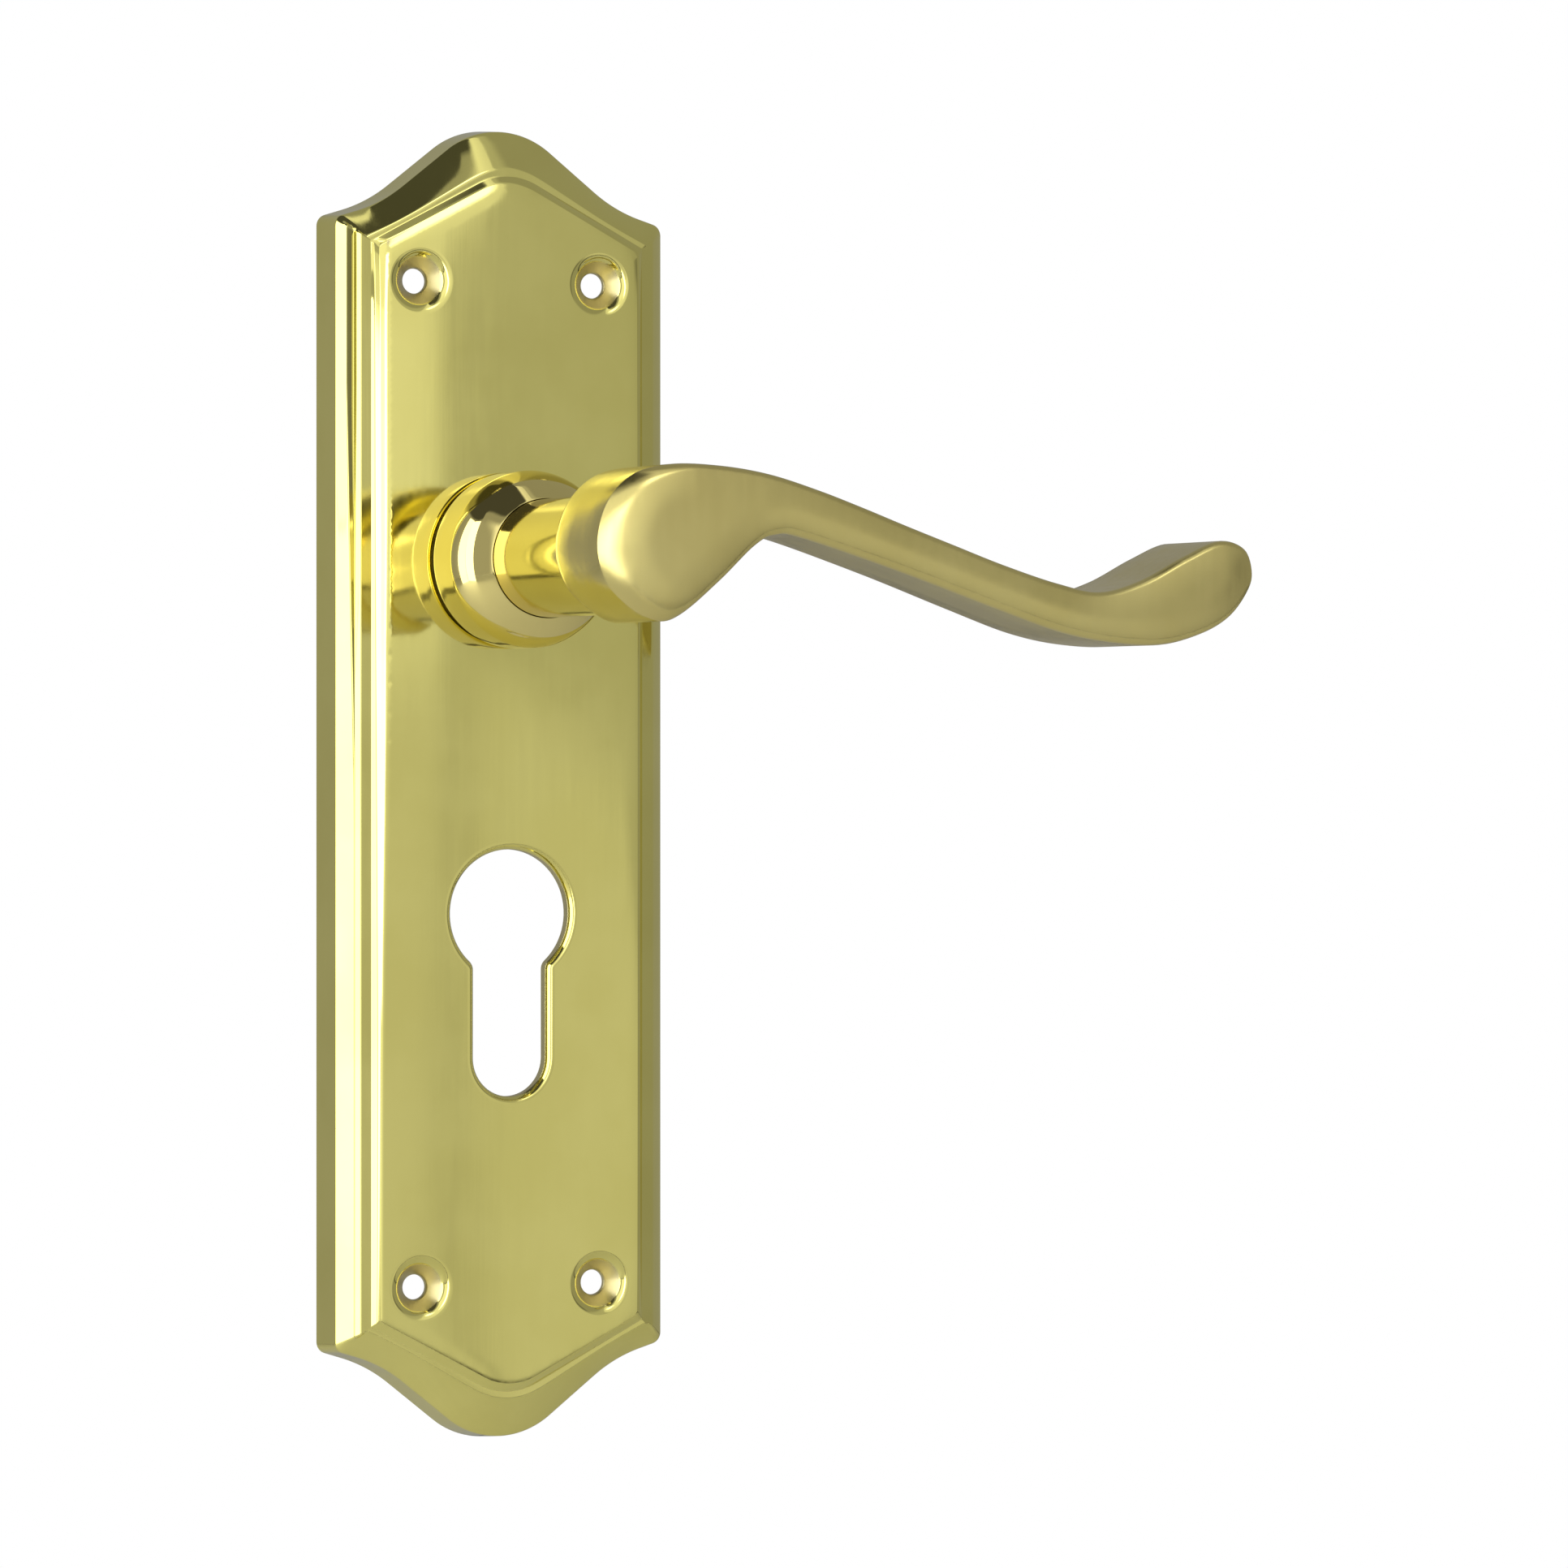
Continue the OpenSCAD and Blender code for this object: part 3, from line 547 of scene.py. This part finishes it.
def make_lever():
    upper = smooth_edge(upper_edge, lower_edge[1], lower_edge[-2])
    lower = smooth_edge(lower_edge, upper_edge[1], upper_edge[-2])
    line = np.vstack([upper, lower[-2:0:-1]])
    d = np.roll(line, -1, axis=0) - np.roll(line, 1, axis=0)
    inward = np.c_[d[:, 1], -d[:, 0]] / np.hypot(*d.T)[:, None]
    x = line[:, 0]
    head = np.clip((4 - x) / 14, 0, 1) ** 1.3
    inset = 0.9 + 2.9 * head
    r_back = back_round + 2.6 * np.clip((10 - x) / 16, 0, 1) ** 1.5
    waist = arm_waist * ease((x - 9) / 9) * np.clip((waist_end - x) / (waist_end - 18), 0, 1)

    s = Skin()
    rim0 = line + inward * inset[:, None]

    def crown(xy):
        drop, reach = swell(xy[:, 0])
        return lever_front - drop * np.clip(1 - edge_distance(rim0, xy) / reach, 0, 1) ** 2

    edge = crown(rim0)
    drop, reach = swell(rim0[:, 0])
    lean = np.degrees(np.arctan(2 * drop / reach))
    rings = [s.ring(rim0, edge)]
    low, before = edge, lean
    for a, gap in zip(edge_shares[1:], np.diff(edge_shares)):
        arm = lean + (arm_tilt - lean) * a ** 1.5
        tilt = mix(arm, np.interp(a, *head_tilt), head)
        low = low - gap * inset * tand((tilt + before) / 2)
        before = tilt
        rings.append(s.ring(rim0 + (line - rim0) * a, low))
    deep = lever_back + waist
    for share in (0, 0.33, 0.66):
        rings.append(s.ring(line, mix(low - edge_drop, deep + r_back, share)))
    for a in (90, 75, 60, 45, 30, 15, 0):
        tuck = r_back * (1 - sind(a))
        rings.append(s.ring(line + inward * tuck[:, None], deep + r_back * (1 - cosd(a))))
    s.loft(*rings)
    s.patch([rings[0]], crown, spacing=0.8, fine=0.6, border=1.2)

    # The flat back, in strips from the upper edge to the lower
    n, last = len(line), rings[-1]
    for i in range(n // 2):
        quad = [last[i], last[i + 1], last[(n - i - 1) % n], last[(n - i) % n]]
        s.faces.append(tuple(dict.fromkeys(quad)))

    tail = tail_rings(s)
    s.loft(*tail)
    s.cap(tail[0])
    s.cap(tail[-1])
    return s.piece("lever_cast", up=spindle_height, sharp=34)


# Collar and spring --------------------------------------------------------------------------

def make_collar():
    back = field_depth + washer_thick
    edge, inner = back + collar_side, neck_size / 2 + 0.08
    big = collar_size / 2
    slopes = [(0, 4.7), (0.3, 3.2), (0.9, 2.0), (1.4, 1.4), (1.8, 0.96), (1.95, 0.9), (big - inner, 0.82)]
    across = np.array([
        0, 0.05, 0.12, 0.2, 0.3, 0.42, 0.55, 0.7, 0.9, 1.1, 1.3, 1.5, 1.7, 1.9, 2.3, 2.8, 3.3, 3.7, big - inner])
    dome = np.c_[big - across, profile(slopes, edge, edge + collar_dome, across)]
    seat, soft, crisp = bush_radius + 0.03, 0.45, 0.22
    turned = [
        (inner, bush_front), (seat, bush_front), (seat, back), (big - soft, back),
        *bezier((big - soft, back), (big, back), (big, back + soft), 5),
        (big, back + 2.5), (big, edge - 1.6), (big, edge - crisp),
        *bezier((big, edge - crisp), (big, edge), dome[1], 5), *dome[2:-1],
        *bezier(dome[-2], dome[-1], (inner, dome[-1][1] - 0.06), 3)]
    s = Skin()
    rings = [s.ring(circle(r, n=144), d) for r, d in turned]
    s.loft(*rings, rings[0])
    return s.piece("collar_turned", up=spindle_height, sharp=40)


def make_spring():
    radius, wire, turn, rest = 11.4, 1.4, 450, 112.5
    housing, cam, play, clear = 7.0, 2.6, 0.3, 0.02
    front, back = housing - play - wire / 2, cam + play + wire / 2
    bend = 0.65 * wire
    slip = math.degrees(2 * math.asin(bend / 2 / radius))
    fixed = rest + turn

    def at(angle, d):
        return (radius * cosd(angle), radius * sind(angle), d)

    # Each end bends round into a short straight leg
    hook = [(0.08, 0.62), (0.3, 0.3), (0.62, 0.08)]
    path = [at(fixed, front + bend + wire / 2 - clear), at(fixed, front + bend)]
    path += [at(fixed - a * slip, front + b * bend) for a, b in hook]
    for t in np.linspace(0, 1, 121):
        path.append(at(fixed - slip - (turn - 2 * slip) * t, front + (back - front) * t))
    path += [at(rest + a * slip, back - b * bend) for a, b in hook[::-1]]
    path += [at(rest, back - bend), at(rest, back - bend - wire / 2 + clear)]
    path = np.array(path)
    s, rings, n = Skin(), [], 14
    for i, p in enumerate(path):
        t = path[min(i + 1, len(path) - 1)] - path[max(i - 1, 0)]
        t /= np.linalg.norm(t)
        out = np.array([p[0], p[1], 0]) / np.hypot(p[0], p[1])
        u = out - t * (out @ t)
        u /= np.linalg.norm(u)
        v = np.cross(t, u)
        a = np.arange(n) * 2 * math.pi / n
        pts = p + 0.99 * wire / 2 * (np.outer(np.cos(a), u) + np.outer(np.sin(a), v))
        rings.append(s.ring(pts[:, :2], pts[:, 2]))
    s.loft(*rings)
    s.cap(rings[0])
    s.cap(rings[-1])
    return s.piece("spring_coil", up=spindle_height, sharp=50)


# Materials ----------------------------------------------------------------------------------

class Tree:
    """Short ways to add shader nodes; values may be sockets or constants."""

    def __init__(self, tree):
        self.tree = tree

    def add(self, kind, inputs=None, **settings):
        n = self.tree.nodes.new(kind)
        for k, v in settings.items():
            setattr(n, k, v)
        for k, v in (inputs or {}).items():
            self.put(n.inputs[k], v)
        return n

    def put(self, socket, v):
        if isinstance(v, bpy.types.NodeSocket):
            self.tree.links.new(v, socket)
        else:
            socket.default_value = v

    def math(self, op, a, b=0.0):
        return self.add("ShaderNodeMath", {0: a, 1: b}, operation=op).outputs[0]

    def times(self, a, *others):
        for b in others:
            a = self.math("MULTIPLY", a, b)
        return a

    def plus(self, a, b):
        return self.math("ADD", a, b)

    def span(self, v, lo, hi, to_lo=0.0, to_hi=1.0):
        """Smooth step from to_lo at lo to to_hi at hi."""
        n = self.add("ShaderNodeMapRange", interpolation_type="SMOOTHSTEP")
        for i, x in enumerate((v, lo, hi, to_lo, to_hi)):
            self.put(n.inputs[i], x)
        return n.outputs[0]

    def noise(self, place, scale, stretch=(1, 1, 1), detail=3.0):
        m = self.add("ShaderNodeMapping", {"Vector": place, "Scale": [scale * k for k in stretch]})
        n = self.add("ShaderNodeTexNoise", {
            "Vector": m.outputs[0], "Scale": 1.0, "Detail": detail, "Roughness": 0.5})
        return n.outputs["Fac"]

    def tint(self, fac, a, b):
        n = self.add("ShaderNodeMix", {0: fac}, data_type="RGBA")
        for socket, tone in zip(n.inputs[6:8], (a, b)):
            self.put(socket, (*tone, 1) if isinstance(tone, tuple) else tone)
        return n.outputs[2]

    def bump(self, height, distance, normal=None):
        n = self.add("ShaderNodeBump", {"Height": height, "Strength": 1.0, "Distance": distance})
        if normal is not None:
            self.put(n.inputs["Normal"], normal)
        return n.outputs[0]


# The duller finish inside the plate's holes fades out between these places, in metres
cut_x, cut_z, cut_fade = (0.0181, 0.0178), (0.0738, 0.0733), 0.0004
cut_rough, cut_tone = 0.26, (0.64, 0.57, 0.3)
neck_fade, neck_shine = 0.0015, 0.4
grain_scale, grain_stretch = 900, (1, 1, 0.08)


def material(name, low, high, rough, metal=1.0, waves=(), blotch=70, bright_behind=None, cut_below=None):
    """Finish from its two tones, its roughness range and rows of bump (scale, stretch, height in metres).

    It is shinier behind the depth bright_behind, and duller in the holes behind the depth cut_below."""
    mat = bpy.data.materials.new(name)
    mat.use_nodes = True
    t = Tree(mat.node_tree)
    shader = mat.node_tree.nodes["Principled BSDF"]
    place = t.add("ShaderNodeTexCoord").outputs["Object"]
    patch = t.noise(place, blotch, detail=4.0)
    tone = t.tint(t.span(patch, 0.3, 0.7), low, high)
    shader.inputs["Metallic"].default_value = metal
    grain = t.noise(place, grain_scale, grain_stretch, detail=2.0)
    mixed = t.plus(t.times(patch, 0.5), t.times(grain, 0.5))
    level = t.span(mixed, 0.35, 0.65, *rough)
    if bright_behind:
        y = t.add("ShaderNodeSeparateXYZ", {0: place}).outputs[1]
        level = t.times(level, t.span(y, bright_behind, bright_behind + neck_fade, 1.0, neck_shine))
    if cut_below:
        x, y, z = t.add("ShaderNodeSeparateXYZ", {0: place}).outputs
        in_x, in_z = t.span(t.math("ABSOLUTE", x), *cut_x), t.span(t.math("ABSOLUTE", z), *cut_z)
        cut = t.times(t.span(y, cut_below, cut_below + cut_fade), in_x, in_z)
        level = t.plus(level, t.times(cut, cut_rough))
        tone = t.tint(cut, tone, cut_tone)
    t.put(shader.inputs["Base Color"], tone)
    t.put(shader.inputs["Roughness"], level)
    normal = None
    for scale, stretch, height in waves:
        normal = t.bump(t.noise(place, scale, stretch, detail=2.0), height, normal)
    if normal is not None:
        t.put(shader.inputs["Normal"], normal)
    return mat


buffed = [(65, (1, 1, 0.35), 2.5e-5), (2600, (1, 1, 0.03), 8e-7)]
materials = {
    "plate_brass": material("plate_brass", (0.84, 0.765, 0.235), (0.89, 0.815, 0.265), (0.045, 0.09),
                            waves=buffed, cut_below=-0.0094),
    "collar_brass": material("collar_brass", (0.85, 0.725, 0.265), (0.89, 0.765, 0.295), (0.03, 0.06),
                             waves=[(1500, (0.2, 4, 0.2), 3e-7)]),
    "lever_brass": material("lever_brass", (0.745, 0.635, 0.228), (0.795, 0.685, 0.262), (0.19, 0.26),
                            waves=[(60, (1, 1, 1), 1.2e-5), (5200, (1, 1, 1), 4e-7)], bright_behind=-0.0455),
    "bush_brass": material("bush_brass", (0.62, 0.46, 0.16), (0.72, 0.55, 0.2), (0.2, 0.34),
                           waves=[(1800, (0.2, 5, 0.2), 1.5e-6)]),
    "dark_nylon": material("dark_nylon", (0.022, 0.017, 0.009), (0.04, 0.03, 0.015), (0.45, 0.65), metal=0.0,
                           waves=[(2200, (1, 1, 1), 4e-6)]),
    "pale_nylon": material("pale_nylon", (0.62, 0.59, 0.5), (0.75, 0.72, 0.62), (0.4, 0.55), metal=0.0,
                           waves=[(2200, (1, 1, 1), 4e-6)]),
    "zinc": material("zinc", (0.36, 0.37, 0.38), (0.5, 0.51, 0.52), (0.38, 0.55),
                     waves=[(900, (1, 1, 1), 9e-6)], blotch=180),
    "plated_steel": material("plated_steel", (0.52, 0.54, 0.57), (0.66, 0.67, 0.68), (0.2, 0.36),
                             waves=[(700, (6, 1, 0.3), 2e-6)], blotch=140),
    "steel": material("steel", (0.42, 0.43, 0.44), (0.56, 0.57, 0.58), (0.22, 0.4),
                      waves=[(1400, (4, 0.1, 4), 2e-6)], blotch=120),
    "spring_steel": material("spring_steel", (0.2, 0.21, 0.23), (0.32, 0.33, 0.35), (0.25, 0.4),
                             waves=[(1600, (1, 1, 1), 3e-6)], blotch=200),
}

for part in frame["record"]["subparts"]:
    node = frame["nodes"][part["node"]]
    node.data.materials.clear()
    node.data.materials.append(materials[part["material_slot"]])
    node.data.shade_smooth()
    node.data.set_sharp_from_angle(angle=math.radians(35))


def dress(obj, slot, node, body=None):
    """Gives a piece its finish, hides the node that it stands in for, and hangs it on the body that it rides on.
    """
    obj.data.materials.append(materials[slot])
    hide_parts(node)
    if body:
        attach(obj, body)


dress(make_plate(), "plate_brass", "backplate", "plate")
dress(make_collar(), "collar_brass", "neck_collar", "plate")
dress(make_lever(), "lever_brass", "lever", "lever")
spring = make_spring()
dress(spring, "spring_steel", "return_spring")
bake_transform(spring)


# Studio -------------------------------------------------------------------------------------

scene = bpy.context.scene
scene.view_settings.view_transform = "Standard"

WHITE = (1, 1, 1, 1)


def bare(owner):
    """Node tree of a new world or material, emptied."""
    owner.use_nodes = True
    owner.node_tree.nodes.clear()
    return Tree(owner.node_tree)


def studio_world():
    """White where it is seen or mirrored, and half as bright as a light."""
    scene.world = bpy.data.worlds.new("studio")
    t = bare(scene.world)
    plain = t.add("ShaderNodeBackground", {"Color": WHITE, "Strength": 0.5})
    white = t.add("ShaderNodeBackground", {"Color": WHITE, "Strength": 1.0})
    path = t.add("ShaderNodeLightPath").outputs
    mirrored = t.math("MAXIMUM", path["Is Glossy Ray"], path["Is Transmission Ray"])
    seen = t.math("MAXIMUM", path["Is Camera Ray"], mirrored)
    both = t.add("ShaderNodeMixShader", {0: seen, 1: plain.outputs[0], 2: white.outputs[0]})
    t.add("ShaderNodeOutputWorld", {"Surface": both.outputs[0]})


def wall_level(t):
    """Brightness of the walls by turn, in degrees to the right of straight in front, and by rise."""
    place = t.add("ShaderNodeTexCoord").outputs["Object"]
    way = t.add("ShaderNodeVectorMath", {0: place}, operation="NORMALIZE").outputs[0]
    x, y, z = t.add("ShaderNodeSeparateXYZ", {0: way}).outputs
    deg = 180 / math.pi
    turn = t.times(t.math("ARCTAN2", x, t.times(y, -1.0)), deg)
    rise = t.times(t.math("ARCSINE", z), deg)

    def window(v, lo, hi, soft):
        return t.times(t.span(v, lo - soft, lo + soft), t.span(v, hi + soft, hi - soft))

    def dim(level, mask, share):
        return t.times(level, t.span(mask, 0, 1, 1.0, share))

    # From the right round to the left; the plate's flat field mirrors a turn of about 24
    level = t.span(turn, 38, 27, 0.31, 0.455)
    for start, end, amount in (
            (22.4, 20.4, 0.34), (20, 6, 0.16), (0, -26, 0.17), (-44, -51, -0.72), (-112, -125, -0.07)):
        level = t.plus(level, t.times(t.span(turn, start, end), amount))

    # Slanting brighter zone, mirrored low on the field, and a dimmer one beside it
    lean = t.plus(rise, t.times(t.math("SUBTRACT", turn, 24.0), 0.45))
    level = t.plus(level, t.times(window(turn, 22, 36, 1.5), t.span(lean, 1.3, 0.5), 0.14))
    front = t.times(window(turn, 4, 22, 1.5), t.span(rise, 2.2, 0.8, 0.0, 0.27))
    level = t.times(level, t.math("SUBTRACT", 1.0, front))

    # Bright panels above and to the left, and the dark stripe in the left moulding
    level = t.plus(level, t.times(window(turn, 4, 16, 3), window(rise, 25, 38, 3), 1.9))
    aside = t.math("SUBTRACT", turn, t.times(t.math("ABSOLUTE", rise), 0.4))
    level = t.plus(level, t.times(window(aside, -18, -6, 1.5), window(rise, -13, 17, 3), 3.0))
    level = dim(level, t.times(window(turn, 31.5, 39, 1), window(rise, -3, 9, 2)), 0.5)

    # Grey, then dark, overhead on the left
    over = window(turn, -190, 5, 4)
    grey = t.times(over, t.span(rise, 34, 42))
    level = t.plus(t.times(level, t.math("SUBTRACT", 1.0, grey)), t.times(grey, 0.34))
    left_sky = t.times(t.span(rise, 45, 51), t.span(turn, -5, -9))
    far_sky = t.times(t.span(rise, 39, 43), t.span(turn, -55, -62))
    sky = t.math("MAXIMUM", t.span(rise, 56, 61), t.math("MAXIMUM", left_sky, far_sky))
    level = dim(level, t.times(over, sky), 0.2)

    # Dark line low on the walls, which sets off the lower edges
    return dim(level, t.times(window(rise, -18, -12, 0.6), t.span(turn, -48, -42)), 0.15)


def studio_walls():
    """Round studio wall and ceiling: pale in front, bright to the front left, dark overhead, dim behind."""
    mesh = bpy.data.meshes.new("studio_walls")
    bm = bmesh.new()
    bmesh.ops.create_uvsphere(bm, u_segments=64, v_segments=32, radius=2.4)
    bmesh.ops.reverse_faces(bm, faces=bm.faces)
    bm.to_mesh(mesh)
    bm.free()
    mesh.shade_smooth()
    obj = bpy.data.objects.new("studio_walls", mesh)
    scene.collection.objects.link(obj)
    obj.visible_camera = False
    obj.visible_shadow = False
    mat = bpy.data.materials.new("studio_walls")
    t = bare(mat)
    glow = t.add("ShaderNodeEmission", {"Color": WHITE, "Strength": wall_level(t)})
    t.add("ShaderNodeOutputMaterial", {"Surface": glow.outputs[0]})
    mesh.materials.append(mat)


def softbox(name, turn, rise, distance, width, height, radiance):
    """Rectangular lamp that faces the part from a turn and a rise in degrees."""
    lamp = bpy.data.lights.new(name, "AREA")
    lamp.shape = "RECTANGLE"
    lamp.size, lamp.size_y = width, height
    lamp.energy = radiance * math.pi * width * height
    obj = bpy.data.objects.new(name, lamp)
    to = Vector((sind(turn) * cosd(rise), -cosd(turn) * cosd(rise), sind(rise)))
    obj.location = to * distance
    obj.rotation_euler = to.to_track_quat("Z", "Y").to_euler()
    obj.visible_camera = False
    scene.collection.objects.link(obj)


def studio_floor():
    """Pale paper floor, lit up a little for the camera so that it stays near white."""
    floor_mesh = bpy.data.meshes.new("floor")
    bm = bmesh.new()
    bmesh.ops.create_circle(bm, cap_ends=True, segments=96, radius=1.4)
    bm.to_mesh(floor_mesh)
    bm.free()
    floor = bpy.data.objects.new("floor", floor_mesh)
    floor.location = (0, 0, -0.36)
    scene.collection.objects.link(floor)
    mat = bpy.data.materials.new("floor")
    t = bare(mat)
    place = t.add("ShaderNodeTexCoord").outputs["Object"]
    paper = t.tint(t.noise(place, 40), (0.82, 0.82, 0.81), (0.86, 0.86, 0.85))
    plain = t.add("ShaderNodeBsdfDiffuse", {"Color": paper})
    glow = t.add("ShaderNodeEmission", {"Color": WHITE, "Strength": 0.45})
    lit = t.add("ShaderNodeAddShader", {0: plain.outputs[0], 1: glow.outputs[0]})
    seen = t.add("ShaderNodeLightPath").outputs["Is Camera Ray"]
    both = t.add("ShaderNodeMixShader", {0: seen, 1: plain.outputs[0], 2: lit.outputs[0]})
    t.add("ShaderNodeOutputMaterial", {"Surface": both.outputs[0]})
    floor_mesh.materials.append(mat)


def photo_camera():
    """Camera fitted to the photo: its focal length in pixels, place and turn."""
    focal_px, frame_px, film = 10161.06, 1932, 36
    camera = bpy.data.cameras.new("camera")
    camera.sensor_width = film
    camera.lens = focal_px / frame_px * film
    camera.clip_start, camera.clip_end = 0.01, 50
    eye = bpy.data.objects.new("camera", camera)
    eye.location = (-0.44717, -1.03901, 0)
    eye.rotation_euler = (math.radians(90), 0, math.radians(-25.38))
    scene.collection.objects.link(eye)
    scene.camera = eye


studio_world()
studio_walls()
softbox("softbox_left", -78, 2, 0.95, 0.545, 1.5, 2.45)
softbox("softbox_far_left", -104, 2, 0.95, 0.32, 1.5, 2.2)
studio_floor()
photo_camera()

bpy.context.view_layer.update()
